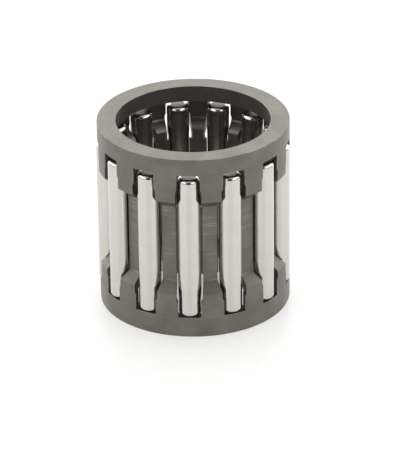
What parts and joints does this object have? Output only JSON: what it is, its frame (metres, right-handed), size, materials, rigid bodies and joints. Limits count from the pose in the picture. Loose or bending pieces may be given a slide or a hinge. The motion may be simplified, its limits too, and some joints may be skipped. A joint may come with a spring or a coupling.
{
  "type": "needle roller bearing",
  "caption": "Needle roller and cage assembly: a one-piece steel cage ring holds loose needle rollers that run directly between a journal and a housing bore.",
  "frame": {"origin": "on the bearing axis, at mid width of the cage", "axes": "+Z along the bearing axis; needle_roller_01 lies on -Y and the numbers rise counter-clockwise seen from +Z"},
  "size_m": [0.0208, 0.0209, 0.021],
  "materials": {
    "cage_steel": "phosphate-coated steel, matt dark grey, fine turning marks in the outer groove",
    "roller_steel": "through-hardened bearing steel, ground and superfinished to a mirror"
  },
  "bodies": {
    "cage_body": {"cage": "cage_steel"},
    "roller_01": {"needle_roller_01": "roller_steel"},
    "roller_02": {"needle_roller_02": "roller_steel"},
    "roller_03": {"needle_roller_03": "roller_steel"},
    "roller_04": {"needle_roller_04": "roller_steel"},
    "roller_05": {"needle_roller_05": "roller_steel"},
    "roller_06": {"needle_roller_06": "roller_steel"},
    "roller_07": {"needle_roller_07": "roller_steel"},
    "roller_08": {"needle_roller_08": "roller_steel"},
    "roller_09": {"needle_roller_09": "roller_steel"},
    "roller_10": {"needle_roller_10": "roller_steel"},
    "roller_11": {"needle_roller_11": "roller_steel"},
    "roller_12": {"needle_roller_12": "roller_steel"},
    "roller_13": {"needle_roller_13": "roller_steel"}
  },
  "joints": [
    {"name": "roller_01_spin", "type": "hinge", "parent": "cage_body", "child": "roller_01", "pos_m": [0, -0.00925, -0.00006], "axis": [0, 0, 1], "continuous": true},
    {"name": "roller_02_spin", "type": "hinge", "parent": "cage_body", "child": "roller_02", "pos_m": [0.0043, -0.00819, -0.00006], "axis": [0, 0, 1], "continuous": true},
    {"name": "roller_03_spin", "type": "hinge", "parent": "cage_body", "child": "roller_03", "pos_m": [0.00761, -0.00525, -0.00006], "axis": [0, 0, 1], "continuous": true},
    {"name": "roller_04_spin", "type": "hinge", "parent": "cage_body", "child": "roller_04", "pos_m": [0.00918, -0.00112, -0.00006], "axis": [0, 0, 1], "continuous": true},
    {"name": "roller_05_spin", "type": "hinge", "parent": "cage_body", "child": "roller_05", "pos_m": [0.00865, 0.00328, -0.00006], "axis": [0, 0, 1], "continuous": true},
    {"name": "roller_06_spin", "type": "hinge", "parent": "cage_body", "child": "roller_06", "pos_m": [0.00613, 0.00692, -0.00006], "axis": [0, 0, 1], "continuous": true},
    {"name": "roller_07_spin", "type": "hinge", "parent": "cage_body", "child": "roller_07", "pos_m": [0.00221, 0.00898, -0.00006], "axis": [0, 0, 1], "continuous": true},
    {"name": "roller_08_spin", "type": "hinge", "parent": "cage_body", "child": "roller_08", "pos_m": [-0.00221, 0.00898, -0.00006], "axis": [0, 0, 1], "continuous": true},
    {"name": "roller_09_spin", "type": "hinge", "parent": "cage_body", "child": "roller_09", "pos_m": [-0.00613, 0.00692, -0.00006], "axis": [0, 0, 1], "continuous": true},
    {"name": "roller_10_spin", "type": "hinge", "parent": "cage_body", "child": "roller_10", "pos_m": [-0.00865, 0.00328, -0.00006], "axis": [0, 0, 1], "continuous": true},
    {"name": "roller_11_spin", "type": "hinge", "parent": "cage_body", "child": "roller_11", "pos_m": [-0.00918, -0.00112, -0.00006], "axis": [0, 0, 1], "continuous": true},
    {"name": "roller_12_spin", "type": "hinge", "parent": "cage_body", "child": "roller_12", "pos_m": [-0.00761, -0.00525, -0.00006], "axis": [0, 0, 1], "continuous": true},
    {"name": "roller_13_spin", "type": "hinge", "parent": "cage_body", "child": "roller_13", "pos_m": [-0.0043, -0.00819, -0.00006], "axis": [0, 0, 1], "continuous": true}
  ]
}
